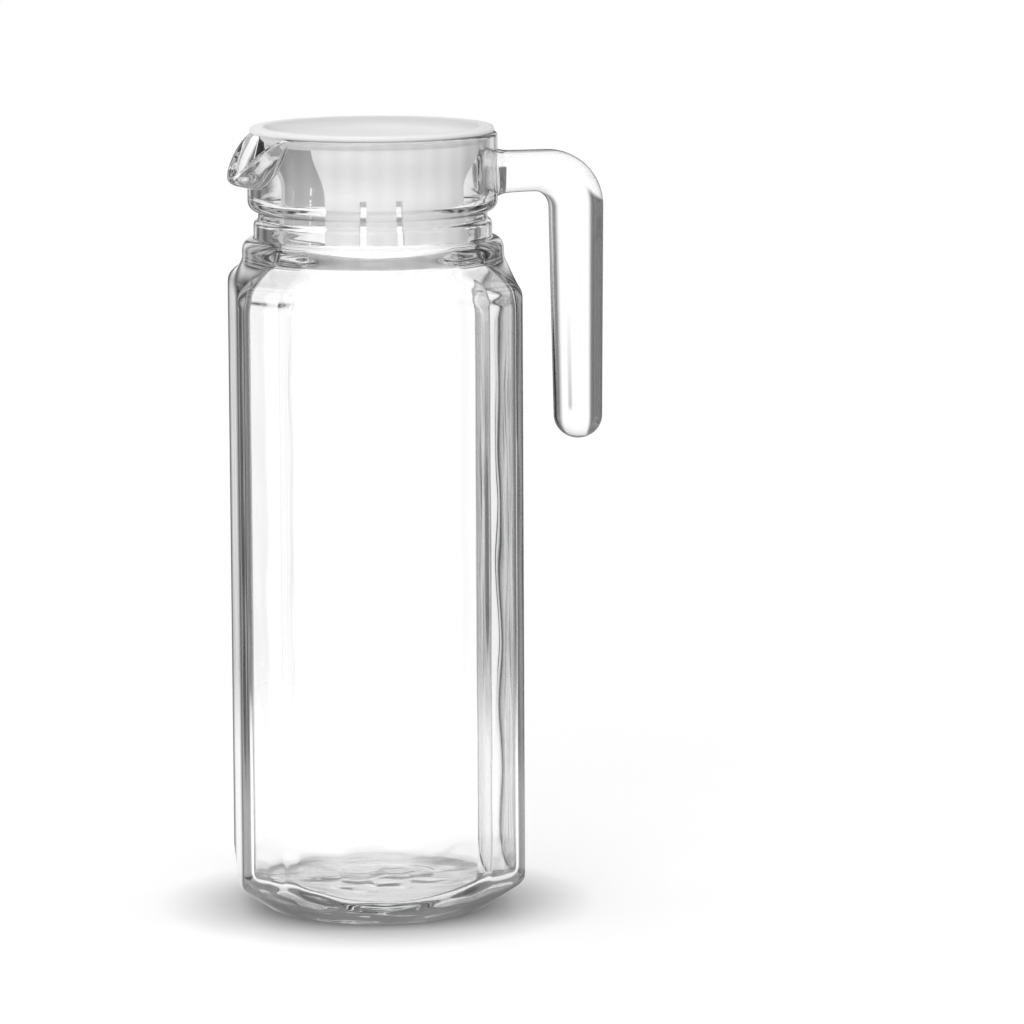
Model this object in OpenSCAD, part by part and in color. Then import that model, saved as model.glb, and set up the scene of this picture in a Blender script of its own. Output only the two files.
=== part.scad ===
// Glass pitcher of about one litre with a plug-in plastic lid.
// Millimetres. Z is the axis of the jug and z = 0 is the surface it stands on.
// The spout is drawn along -X and the handle along +X, and neck_turn turns both about Z.

/* [Body] */
// Distance between two opposite wide faces
across_flats = 84; // [76:1:100]
// Width of each wide face, measured to the unrounded upright edges
wide_face_w = 58.7; // [50:0.5:64]
// Rounding of the upright edges outside
edge_r = 6; // [3:0.5:9]
// Rounding of the upright edges inside
inner_edge_r = 4.5; // [2:0.5:8]
// Thickness of the body wall
wall_t = 3.3; // [2.4:0.1:4.5]
// Thickness of the bottom
floor_t = 7; // [5:0.5:10]
// Radius of the round foot
foot_r = 33.3; // [31:0.5:36]
// Rounding of the foot's lower edge
foot_edge_r = 2; // [0.5:0.5:4]
// Radius of the shallow push-up under the foot
push_up_r = 28; // [20:0.5:29]
// Depth of the push-up
push_up_h = 2; // [1:0.25:3]
// Slope of the heel between the foot and the wide faces, in degrees
heel_angle = 34; // [25:1:40]
// Height of the top of the shoulder, where the ring starts
shoulder_h = 197.8; // [170:1:230]
// Slope of the shoulder above the upright edges, in degrees
shoulder_angle = 27; // [18:1:35]
// Hollow rounding where the shoulder rises into the ring
shoulder_r = 8; // [6:0.5:10]
// Hollow rounding of the shoulder inside
inner_shoulder_r = 20; // [16:1:24]

/* [Neck and collar] */
// Radius of the ring below the neck
ring_r = 39; // [38:0.25:41]
// Straight height of the ring
ring_h = 0.9; // [0.5:0.1:3]
// Radius of the neck above the ring
neck_r = 35.5; // [35:0.25:37]
// Straight height of the neck
neck_h = 4; // [3:0.25:8]
// Radius of the groove under the collar
groove_r = 34.1; // [33:0.1:34.6]
// Height of the groove
groove_h = 2.3; // [1:0.1:4]
// Radius of the neck's bore
neck_bore_r = 30.8; // [30:0.1:31.5]
// Thickness of the collar's wall at the mouth
collar_t = 3.7; // [3.3:0.1:4.8]
// Height of the collar with its rounded lower edge
collar_h = 23.3; // [21:0.1:28]
// Radius of the mouth inside the collar
mouth_r = 33.5; // [33:0.1:33.9]
// Height over which the bore widens to the mouth
mouth_taper_h = 5; // [3:0.25:6]
// Rounding of the collar's top edges
rim_edge_r = 1; // [0.4:0.1:1.4]
// Turn of the spout and the handle about the axis, away from the body's faces, in degrees
neck_turn = 8; // [0:1:12]

/* [Spout] */
// How far the lip reaches out from the collar
lip_reach = 6.3; // [4:0.1:9]
// How far the lip's rim droops below the collar's top
lip_droop = 12; // [8:0.25:13]
// Height of the lip's root, from its underside to the collar's top
lip_root_h = 15.6; // [15:0.2:17]
// Half of the angle that the spout takes up on the collar
lip_half_angle = 33.5; // [30:0.5:42]
// Thickness of the lip at its tip
lip_t = 2.8; // [2:0.1:3.4]
// Rise of the rounded underside to the tip
lip_belly_h = 3.4; // [2.5:0.1:4]
// Thickness of glass between the lip's root and the channel floor
lip_floor_t = 1.6; // [1:0.1:2]
// Height of the curved inner corner of the channel
lip_corner_h = 6; // [3:0.5:9]

/* [Handle] */
// Reach of the grip's outer face from the axis of the jug
handle_reach = 70.6; // [68:0.2:76]
// Distance of the handle's upper face below the collar's top
handle_drop = 6.5; // [4:0.1:7]
// Height of the arm where it leaves the collar
arm_h = 12.4; // [10:0.1:13.5]
// Length of the handle from its upper face to its free end
handle_l = 87.4; // [70:0.5:110]
// Radius of the outer bend
bend_r = 17; // [13:0.5:19]
// Radius of the bend on the finger side
inner_bend_r = 5; // [3:0.5:7]
// Width of the grip below the bend
grip_top_w = 16.3; // [14:0.1:18]
// Width of the grip at its free end
grip_end_w = 14.4; // [12:0.1:16]
// How far the grip's outer face leans in towards its free end
grip_lean = 0.5; // [0:0.1:1.5]
// Thickness of the handle across the grip
handle_t = 13; // [10:0.5:16]
// Extra size of the handle where it is fused to the collar
weld_flare = 1.6; // [0:0.2:2.4]

/* [Lid] */
// Radius of the lid's flange
lid_r = 36.3; // [36:0.1:37]
// Thickness of the flange
flange_t = 1.9; // [1.8:0.1:3]
// Rounding of the flange's edges
flange_edge_r = 0.8; // [0.3:0.1:0.9]
// Thickness of the lid's other walls
lid_wall_t = 1.3; // [1:0.1:1.8]
// Clearance between the plug ring and the mouth
plug_clear = 0.3; // [0.2:0.05:0.6]
// Height of the plug ring below the flange
plug_h = 1.6; // [1:0.1:3]
// Step from the plug ring in to the skirt
plug_step = 1.1; // [0.6:0.1:2]
// Radius of the skirt at its waist
waist_r = 27.1; // [25:0.1:29]
// Radius of the skirt at its lower edge
skirt_end_r = 28.4; // [27:0.1:29.8]
// Height of the skirt below the flange
skirt_h = 31.2; // [26:0.2:34]
// Height of the waist above the skirt's lower edge
waist_h = 14.5; // [11:0.5:17]
// Half of the angle that is cut out of the skirt for pouring
pour_half_angle = 28.5; // [24:0.5:36]
// Turn of the lid in the mouth, from its window facing the spout, in degrees
lid_turn = 18.5; // [0:0.5:180]
// Radius of the dish in the lid's top
dish_r = 32.2; // [30:0.1:33]
// Depth of the dish
dish_h = 3.6; // [2:0.1:4.5]
// Width of the slots in the skirt
slot_w = 2; // [1:0.1:3]
// Height of the slots
slot_h = 13.2; // [8:0.2:14]
// Angle of the front slot from the middle of the window
front_slot_angle = 53.5; // [46:0.5:60]
// Angle of the rear slot from the middle of the window
rear_slot_angle = 75.5; // [70:0.5:120]

/* [Hidden] */
$fn = 96;
cut_over = 2;
round_steps = 6;
lip_steps = 30;
handle_sides = 24;
bend_steps = 10;
grip_steps = 5;
end_steps = 7;
half_flats = across_flats / 2;
half_wide = wide_face_w / 2;
chamfer_dist = (half_flats + half_wide) / sqrt(2);
inner_flats = half_flats - wall_t;
inner_chamfer_dist = chamfer_dist - wall_t;
corner_r = norm([half_flats, half_wide]);
blank_r = corner_r + cut_over;
collar_r = mouth_r + collar_t;
ring_top_z = shoulder_h + ring_h;
neck_z = ring_top_z + ring_r - neck_r;
groove_z = neck_z + neck_h + neck_r - groove_r;
collar_z = groove_z + groove_h;
belly_z = collar_z + collar_r - groove_r;
top_z = collar_z + collar_h;
mouth_z = belly_z + (top_z - lip_root_h - belly_z) / 3;
lip_base_z = top_z - lip_root_h - (top_z - lip_root_h - belly_z) / 3;
lid_top_z = top_z + flange_t;
skirt_z = top_z - skirt_h;
waist_z = skirt_z + waist_h;
plug_r = mouth_r - plug_clear;
skirt_top_r = plug_r - plug_step;
plug_z = top_z - plug_h;
taper_z = plug_z - plug_step;
// How sharply the dish falls from its edge, as a power of the radius
dish_power = 6;
// Radii at which the dish's outline has points, as shares of the dish's radius
dish_shares = [0, 0.3, 0.5, 0.65, 0.75, 0.83, 0.89, 0.94, 0.97, 1];
// How squarely the spout's root drops down the collar, as a power
root_power = 4;
// How the rim dips from the collar's top to the tip, as a power
dip_power = 1.56;
// How squarely the lip stands out of the collar, seen from above, as a power
plan_power = 2;
// Depth of the faint step where the lip's glass meets the collar
seam_step = 0.05;
// How far the lip's glass laps into the collar, down and in degrees to each side
seam_lap = 1;
seam_angle = 1;
// Rounding of the lip's rim at the tip, as a share of its thickness
tip_round_share = 0.42;
// How full the handle's section is, 2 being an ellipse
section_power = 2.5;
// Share of the weld's flare left at each ring of the handle's root
weld_shares = [1, 0.62, 0.2, 0.04];
// Where those rings lie, as a share of the arm's length
weld_place_shares = [0, 0.12, 0.3, 0.5];
// Share of the arm's height by which its underside sags at the collar
arm_sag_share = 0.05;

function mix(a, b, share) = a + (b - a) * share;
function ease(share) = (1 - cos(180 * share)) / 2;
function swing(from, to, steps) = [for (i = [0:steps]) from + (to - from) * i / steps];
function arc(centre, r, from, to, steps = round_steps) =
    [for (a = swing(from, to, steps)) centre + r * [cos(a), sin(a)]];
function blend(low, high, steps) =
    [for (s = swing(0, 1, steps)) [mix(low[0], high[0], ease(s)), mix(low[1], high[1], s)]];

// Where the sloped shoulder runs into its hollow rounding
function shoulder_tangent() =
    [ring_r + shoulder_r, shoulder_h] - shoulder_r * [sin(shoulder_angle), cos(shoulder_angle)];
function shoulder_z(r) = shoulder_tangent()[1] - (r - shoulder_tangent()[0]) * tan(shoulder_angle);
function inner_shoulder_z(r) = shoulder_z(r) - wall_t / cos(shoulder_angle);
function heel_z(r) = (r - foot_r) * tan(heel_angle);
function inner_heel_z(r) = heel_z(r) + wall_t / cos(heel_angle);

function rotated(p, a) = [p[0] * cos(a) - p[1] * sin(a), p[0] * sin(a) + p[1] * cos(a)];
function reversed(list) = [for (i = [len(list) - 1:-1:0]) list[i]];

// Square with cut corners, in which every upright edge is rounded
module body_section(flats, chamfer, r) {
    inset = chamfer * sqrt(2) - flats - r * tan(22.5);
    side = concat(
        arc([flats - r, inset], r, 0, 45),
        arc([inset, flats - r], r, 45, 90));
    polygon([for (q = [0:3]) for (p = side) rotated(p, 90 * q)]);
}

// Outline of the jug's outside, before the wide faces cut it
function outer_profile() = concat(
    push_up(),
    arc([foot_r - foot_edge_r * tan(heel_angle / 2), foot_edge_r], foot_edge_r, -90, heel_angle - 90),
    [[blank_r, heel_z(blank_r)], [blank_r, shoulder_z(blank_r)]],
    arc([ring_r + shoulder_r, shoulder_h], shoulder_r, 270 - shoulder_angle, 180),
    arc([neck_r, ring_top_z], ring_r - neck_r, 0, 90),
    arc([groove_r, neck_z + neck_h], neck_r - groove_r, 0, 90),
    arc([groove_r, belly_z], collar_r - groove_r, -90, 0),
    arc([collar_r - rim_edge_r, top_z - rim_edge_r], rim_edge_r, 0, 90),
    [[0, top_z]]);

// Underside of the foot, a shallow bow from the axis to the resting ring
function push_up() = [for (s = swing(0, 1, round_steps)) [push_up_r * s, push_up_h * (1 - s * s)]];

// Outline of the hollow inside
function cavity_profile() = concat(
    [[0, floor_t]],
    floor_corner(),
    [[blank_r, inner_heel_z(blank_r)], [blank_r, inner_shoulder_z(blank_r)]],
    arc([neck_bore_r + inner_shoulder_r, inner_neck_z()], inner_shoulder_r, 270 - shoulder_angle, 180),
    blend([neck_bore_r, mouth_z - mouth_taper_h], [mouth_r, mouth_z], round_steps),
    arc([mouth_r + rim_edge_r, top_z - rim_edge_r], rim_edge_r, 180, 90),
    [[mouth_r + rim_edge_r, top_z + cut_over], [0, top_z + cut_over]]);

// Rounded corner between the floor and the inside of the heel
function floor_corner() =
    let (
        turn = inner_edge_r * tan(heel_angle / 2),
        r = foot_r + (floor_t - wall_t / cos(heel_angle)) / tan(heel_angle))
    arc([r - turn, floor_t + inner_edge_r], inner_edge_r, -90, heel_angle - 90);

// Height at which the bore's upright wall starts, with the shoulder's slope tangent to its rounding
function inner_neck_z() = inner_shoulder_z(neck_bore_r + inner_shoulder_r * (1 - sin(shoulder_angle)))
    + inner_shoulder_r * cos(shoulder_angle);

// The spout is worked out at t, which is 0 in its middle and 1 where it ends on the collar
function bulge(t) = 1 - pow(t, plan_power);
function rim_z(t) = top_z - lip_droop * pow(cos(90 * t), dip_power);
function root_z(t) = mix(top_z - 2 * rim_edge_r, top_z - lip_root_h, 1 - pow(t, root_power));
function rim_round(t) = mix(rim_edge_r, lip_t * tip_round_share, bulge(t));
function lip_outer_r(t) = mix(collar_r - seam_step, collar_r + lip_reach, bulge(t));
function lip_inner_r(t) = mix(mouth_r + seam_step, collar_r + lip_reach - lip_t, bulge(t));

// Section of the collar and lip at t: outside upwards, over the rim and down the channel
function lip_section(t) =
    let (
        out = lip_outer_r(t),
        in = lip_inner_r(t),
        q = rim_round(t),
        rim = rim_z(t) - seam_step - q,
        root = root_z(t),
        belly = min(lip_belly_h, rim - root),
        channel = root + min(lip_floor_t, (rim - root) / 2),
        corner = min(lip_corner_h, rim - channel),
        wall_out = collar_r - seam_step,
        wall_in = mouth_r + seam_step)
    concat(
        [[wall_in, lip_base_z - seam_lap], [wall_out, lip_base_z - seam_lap]],
        [for (a = swing(0, 75, 5)) [wall_out + (out - wall_out) * sin(a), root + belly * (1 - cos(a))]],
        arc([out - q, rim], q, 0, 90, 4),
        arc([in + q, rim], q, 90, 180, 4),
        [for (a = swing(18, 90, 4)) [wall_in + (in - wall_in) * cos(a), channel + corner * (1 - sin(a))]]);

// Solid through a row of rings with equal numbers of points, closed at a point beyond each end
module loft(rings, start, finish) {
    n = len(rings[0]);
    last = len(rings) - 1;
    start_k = n * (last + 1);
    sides = [for (i = [0:last - 1]) for (j = [0:n - 1]) let (k = (j + 1) % n) each [
        [i * n + j, i * n + k, (i + 1) * n + k],
        [i * n + j, (i + 1) * n + k, (i + 1) * n + j]]];
    ends = [for (j = [0:n - 1]) let (k = (j + 1) % n) each [
        [start_k, k, j],
        [start_k + 1, last * n + j, last * n + k]]];
    polyhedron(concat([for (r = rings) each r], [start, finish]), concat(sides, ends));
}

function middle(ring) = [for (p = ring) 1] * ring / len(ring);

// Collar wall and drooping lip of the spout, lapped into the collar at both ends and below
module spout() {
    angles = concat(
        [-lip_half_angle - seam_angle],
        swing(-lip_half_angle, lip_half_angle, lip_steps),
        [lip_half_angle + seam_angle]);
    rings = [for (a = angles)
        [for (p = lip_section(min(1, abs(a) / lip_half_angle))) [-p[0] * cos(a), -p[0] * sin(a), p[1]]]];
    loft(rings, middle(rings[0]), middle(rings[len(rings) - 1]));
}

// Wedge that opens towards -X
module wedge(half_angle, reach, z0, z1) {
    translate([0, 0, z0])
        linear_extrude(z1 - z0)
            polygon([[0, 0], -reach * [cos(half_angle), sin(half_angle)], -reach * [1, 0] / cos(half_angle),
                -reach * [cos(half_angle), -sin(half_angle)]]);
}

module jug() {
    color([0.86, 0.93, 0.92, 0.45]) {
        union() {
            difference() {
                intersection() {
                    rotate_extrude() polygon(outer_profile());
                    linear_extrude(top_z + cut_over) body_section(half_flats, chamfer_dist, edge_r);
                }
                intersection() {
                    rotate_extrude() polygon(cavity_profile());
                    linear_extrude(top_z + 2 * cut_over)
                        body_section(inner_flats, inner_chamfer_dist, inner_edge_r);
                }
                rotate([0, 0, neck_turn])
                    wedge(lip_half_angle - seam_angle, blank_r, lip_base_z, top_z + cut_over);
            }
            rotate([0, 0, neck_turn])
                spout();
        }
    }
}

// One ring of the handle: its outer and finger-side points in the plane Y = 0, and its thickness
function handle_ring(outer, inner, thickness) =
    let (centre = (outer + inner) / 2, half = (outer - inner) / 2, p = 2 / section_power)
    [for (k = [0:handle_sides - 1])
        let (
            a = 360 * k / handle_sides,
            c = sign(cos(a)) * pow(abs(cos(a)), p),
            s = sign(sin(a)) * pow(abs(sin(a)), p))
        [centre[0] + half[0] * c, thickness / 2 * s, centre[1] + half[1] * c]];

function handle_top_z() = top_z - handle_drop;
function outer_bend() = [handle_reach - bend_r, handle_top_z() - bend_r];
function inner_bend() = [handle_reach - grip_top_w - inner_bend_r, handle_top_z() - arm_h - inner_bend_r];
function free_end() = [
    handle_reach - grip_lean - grip_end_w / 2,
    handle_top_z() - handle_l + grip_end_w / 2];

// Rings from the weld along the arm
function arm_rings() = [for (i = [0:len(weld_shares) - 1])
    let (
        flare = weld_flare * weld_shares[i],
        start = mouth_r + (collar_r - mouth_r) / 2,
        place = weld_place_shares[i],
        sag = arm_h * arm_sag_share * (1 - place))
    handle_ring(
        [mix(start, outer_bend()[0], place), handle_top_z() + flare / 2],
        [mix(start, inner_bend()[0], place), handle_top_z() - arm_h - sag - flare / 2],
        handle_t + 2 * flare)];

function bend_rings() = [for (a = swing(90, 0, bend_steps))
    handle_ring(
        outer_bend() + bend_r * [cos(a), sin(a)],
        inner_bend() + inner_bend_r * [cos(a), sin(a)],
        handle_t)];

function grip_rings() = [for (i = [1:grip_steps])
    let (
        share = i / grip_steps,
        top_outer = outer_bend() + [bend_r, 0],
        top_inner = inner_bend() + [inner_bend_r, 0])
    handle_ring(
        mix(top_outer, free_end() + [grip_end_w / 2, 0], share),
        mix(top_inner, free_end() - [grip_end_w / 2, 0], share),
        handle_t)];

// Rounded free end
function end_rings() = [for (i = [1:end_steps - 1])
    let (
        a = 90 * i / end_steps,
        half = [grip_end_w / 2 * cos(a), 0],
        centre = free_end() - [0, grip_end_w / 2 * sin(a)])
    handle_ring(centre + half, centre - half, handle_t * cos(a))];

module handle() {
    color([0.84, 0.92, 0.91, 0.55]) {
        difference() {
            rotate([0, 0, neck_turn]) loft(
                concat(arm_rings(), bend_rings(), grip_rings(), end_rings()),
                middle(arm_rings()[0]),
                [free_end()[0], 0, free_end()[1] - grip_end_w / 2]);
            translate([0, 0, belly_z - cut_over])
                cylinder(r = collar_r, h = top_z - belly_z + 2 * cut_over);
        }
    }
}

// Top surface of the dish at a share of its radius
function dish_z(share) = lid_top_z - dish_h * (1 - pow(share, dish_power));

// Flange, with the dish sunk into it
module lid_top() {
    under = [for (s = dish_shares) if (dish_z(s) - lid_wall_t < top_z) [dish_r * s, dish_z(s) - lid_wall_t]];
    rotate_extrude() polygon(concat(
        under,
        [[skirt_top_r, top_z]],
        arc([lid_r - flange_edge_r, top_z + flange_edge_r], flange_edge_r, -90, 0),
        arc([lid_r - flange_edge_r, lid_top_z - flange_edge_r], flange_edge_r, 0, 90),
        [for (s = reversed(dish_shares)) [dish_r * s, dish_z(s)]]));
}

// Plug ring and funnel-shaped skirt, with its window towards -X and slotted beside it
module lid_skirt() {
    flank = concat(
        [[skirt_end_r, skirt_z]],
        blend([waist_r, waist_z], [skirt_top_r, taper_z], 2 * round_steps));
    root = top_z + flange_t / 3;
    difference() {
        rotate_extrude() polygon(concat(
            flank,
            [[plug_r, plug_z], [plug_r, root], [skirt_top_r - lid_wall_t, root]],
            [for (p = reversed(flank)) p - [lid_wall_t, 0]]));
        wedge(pour_half_angle, lid_r, skirt_z - cut_over, plug_z);
        for (side = [-1, 1]) {
            for (a = [front_slot_angle, rear_slot_angle]) {
                rotate([0, 0, 180 + side * a])
                    translate([0, -slot_w / 2, skirt_z - cut_over])
                        cube([lid_r, slot_w, slot_h + cut_over]);
            }
        }
    }
}

module lid() {
    color([0.94, 0.94, 0.94]) {
        lid_top();
        rotate([0, 0, neck_turn + lid_turn])
            lid_skirt();
    }
}

jug();
handle();
lid();
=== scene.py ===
"""Looks of a glass pitcher with a plug-in lid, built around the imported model."""

import logging
import math
from dataclasses import dataclass
from enum import Enum

import bmesh
import bpy
import numpy as np
from mathutils import Matrix, Vector


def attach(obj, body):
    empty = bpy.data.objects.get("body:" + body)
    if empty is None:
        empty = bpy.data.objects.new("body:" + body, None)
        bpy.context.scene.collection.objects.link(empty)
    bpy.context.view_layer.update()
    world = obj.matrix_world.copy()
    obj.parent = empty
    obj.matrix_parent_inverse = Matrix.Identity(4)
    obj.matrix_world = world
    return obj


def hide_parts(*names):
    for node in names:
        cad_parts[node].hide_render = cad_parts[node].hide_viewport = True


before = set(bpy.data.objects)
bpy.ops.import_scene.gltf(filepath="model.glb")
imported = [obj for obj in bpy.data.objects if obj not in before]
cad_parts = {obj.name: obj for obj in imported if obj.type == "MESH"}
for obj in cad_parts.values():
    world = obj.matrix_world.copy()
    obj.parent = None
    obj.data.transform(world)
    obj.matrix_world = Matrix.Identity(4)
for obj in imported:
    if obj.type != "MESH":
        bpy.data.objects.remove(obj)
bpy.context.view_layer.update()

LOG = logging.getLogger("pitcher")
MM = 0.001
Colour = tuple[float, float, float, float]


class Body(Enum):
    """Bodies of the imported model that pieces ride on."""

    JUG = "jug_body"
    LID = "lid_body"


class Slot(Enum):
    """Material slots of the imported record."""

    GLASS = "clear_glass"
    PLASTIC = "white_plastic"


# Curves and surfaces


def ease(share: np.ndarray) -> np.ndarray:
    """Runs smoothly from 0 to 1 as the share does.

    Args:
        share: Values, clipped to the range 0 to 1.

    Returns:
        The eased values.
    """
    return (1 - np.cos(np.pi * np.clip(share, 0, 1))) / 2


def arc(centre: tuple[float, float], radius: float, start: float, end: float, steps: int) -> np.ndarray:
    """Points on an arc.

    Args:
        centre: Middle of the arc, as radius and height in millimetres.
        radius: Radius in millimetres.
        start: First angle in degrees.
        end: Last angle in degrees.
        steps: Number of steps between the two.

    Returns:
        One row for each point.
    """
    angles = np.radians(np.linspace(start, end, steps + 1))
    return np.column_stack([centre[0] + radius * np.cos(angles), centre[1] + radius * np.sin(angles)])


def soften(line: np.ndarray, width: float, step: float = 0.1) -> np.ndarray:
    """Rounds the corners of an open line by a moving bell-shaped average, and keeps its two ends.

    Args:
        line: Corner points, one row each, in millimetres.
        width: Spread of the average in millimetres.
        step: Spacing of the points that come back.

    Returns:
        The softened line at an even spacing.
    """
    lengths = np.concatenate([[0], np.cumsum(np.linalg.norm(np.diff(line, axis=0), axis=1))])
    count = max(int(lengths[-1] / step), 4)
    even = np.linspace(0, lengths[-1], count + 1)
    dense = np.column_stack([np.interp(even, lengths, line[:, k]) for k in range(2)])
    reach = int(4 * width / step)
    kernel = np.exp(-0.5 * (np.arange(-reach, reach + 1) * step / width) ** 2)
    kernel /= kernel.sum()
    before = 2 * dense[0] - dense[reach:0:-1]
    after = 2 * dense[-1] - dense[-2:-reach - 2:-1]
    padded = np.vstack([before, dense, after])
    return np.column_stack([np.convolve(padded[:, k], kernel, mode="valid") for k in range(2)])


def thin_out(line: np.ndarray, fine: float, coarse: float, bend: float = 0.1) -> np.ndarray:
    """Keeps more points of a line where it bends and fewer where it is straight.

    Args:
        line: Points at an even, close spacing, in millimetres.
        fine: Closest spacing that is kept.
        coarse: Widest spacing that is kept.
        bend: Turn in radians that one step may take.

    Returns:
        The points that are kept, both ends among them.
    """
    steps = np.diff(line, axis=0)
    spacing = np.linalg.norm(steps, axis=1)
    heading = np.unwrap(np.arctan2(steps[:, 1], steps[:, 0]))
    turn = np.abs(np.gradient(heading)) / spacing
    want = np.clip(bend / np.maximum(turn, 1e-6), fine, coarse)
    want = np.minimum.reduce([np.roll(want, k) for k in range(-6, 7)])
    share = np.concatenate([[0], np.cumsum(spacing / want)])
    count = int(math.ceil(share[-1]))
    along = np.linspace(0, share[-1], count + 1)
    return np.column_stack([np.interp(along, share, line[:, k]) for k in range(2)])


def soft_min(first: np.ndarray, second: np.ndarray, blend: float) -> np.ndarray:
    """Smaller of two values, rounded off where they are nearly equal.

    Args:
        first: Values.
        second: Values to compare with.
        blend: Difference within which the result is rounded.

    Returns:
        The rounded minimum.
    """
    share = np.maximum(blend - np.abs(first - second), 0) / blend
    return np.minimum(first, second) - share**3 * blend / 6


@dataclass(frozen=True)
class Ripple:
    """Slow, uneven wave for glass that was pressed and blown rather than ground."""

    seed: int
    length: tuple[float, float]
    waves: int = 9

    def at(self, across: np.ndarray, along: np.ndarray) -> np.ndarray:
        """Height of the wave.

        Args:
            across: First coordinate in millimetres.
            along: Second coordinate in millimetres.

        Returns:
            Heights from about -1 to 1.
        """
        rng = np.random.default_rng(self.seed)
        total = np.zeros(np.broadcast(across, along).shape)
        for _ in range(self.waves):
            stretch = rng.uniform(0.6, 1.7, 2)
            phase = rng.uniform(0, 2 * np.pi, 2)
            tilt = rng.uniform(-0.5, 0.5)
            one = 2 * np.pi * across / (self.length[0] * stretch[0]) + phase[0]
            two = 2 * np.pi * along / (self.length[1] * stretch[1]) + phase[1]
            total = total + np.sin(one + tilt * two) * np.sin(two + tilt * one)
        return total / math.sqrt(self.waves)


class Skin:
    """Collects rows of points into one mesh of quads."""

    def __init__(self) -> None:
        """Starts with nothing in it."""
        self.points: list[np.ndarray] = []
        self.faces: list[tuple[int, ...]] = []
        self.count = 0

    def add_points(self, points: np.ndarray) -> int:
        """Adds points in millimetres and returns the number of the first."""
        first = self.count
        self.points.append(points.reshape(-1, 3))
        self.count += len(self.points[-1])
        return first

    def add_grid(self, grid: np.ndarray, start_pole: bool = False, end_pole: bool = False,
                 ring: bool = True) -> None:
        """Joins a grid of points into quads.

        Args:
            grid: Points in millimetres, as rows, columns and coordinates.
            start_pole: True if the first row closes in one point.
            end_pole: True if the last row closes in one point.
            ring: True if the last column joins the first.
        """
        rows, columns = grid.shape[:2]
        first = self.add_points(grid)
        index = first + np.arange(rows * columns).reshape(rows, columns)
        beside = np.roll(index, -1, axis=1)
        if not ring:
            index, beside = index[:, :-1], beside[:, :-1]
        quads = np.stack([index[:-1], beside[:-1], beside[1:], index[1:]], axis=-1)
        self.faces.extend(map(tuple, quads.reshape(-1, 4).tolist()))
        for row, wanted, flip in ((0, start_pole, True), (-1, end_pole, False)):
            if wanted:
                pole = self.add_points(grid[row].mean(axis=0))
                edge = zip(index[row].tolist(), beside[row].tolist())
                self.faces.extend((b, a, pole) if flip else (a, b, pole) for a, b in edge)

    def make(self, name: str, sharp: float | None = None) -> bpy.types.Object:
        """Makes the object.

        Args:
            name: Name of the piece.
            sharp: Angle in degrees above which an edge stays crisp, or None for none.

        Returns:
            The smooth-shaded object, in metres.
        """
        mesh = bpy.data.meshes.new(name)
        mesh.from_pydata((np.vstack(self.points) * MM).tolist(), [], self.faces)
        shape = bmesh.new()
        shape.from_mesh(mesh)
        bmesh.ops.remove_doubles(shape, verts=shape.verts, dist=1e-7)
        shape.to_mesh(mesh)
        shape.free()
        mesh.validate()
        mesh.shade_smooth()
        if sharp is not None:
            mesh.set_sharp_from_angle(angle=math.radians(sharp))
        made = bpy.data.objects.new(name, mesh)
        bpy.context.scene.collection.objects.link(made)
        return made


# Shader maths


class Channel:
    """One output socket, with the sums that a shader needs written as plain sums."""

    def __init__(self, shader: "Shader", socket: bpy.types.NodeSocket) -> None:
        """Wraps the socket of a node in that shader."""
        self.shader = shader
        self.socket = socket

    def maths(self, operation: str, *values: "Channel | float", clamp: bool = False) -> "Channel":
        """Adds one Math node.

        Args:
            operation: Name of the sum.
            values: Its inputs after this one.
            clamp: True to hold the result from 0 to 1.

        Returns:
            The node's result.
        """
        return self.shader.maths(operation, self, *values, clamp=clamp)

    def __add__(self, other: "Channel | float") -> "Channel":
        """Sum."""
        return self.maths("ADD", other)

    def __sub__(self, other: "Channel | float") -> "Channel":
        """Difference."""
        return self.maths("SUBTRACT", other)

    def __mul__(self, other: "Channel | float") -> "Channel":
        """Product."""
        return self.maths("MULTIPLY", other)

    def __pow__(self, other: "Channel | float") -> "Channel":
        """Power."""
        return self.maths("POWER", other)

    def __rsub__(self, other: float) -> "Channel":
        """Difference from a number."""
        return self.shader.maths("SUBTRACT", other, self)

    __radd__ = __add__
    __rmul__ = __mul__


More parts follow.
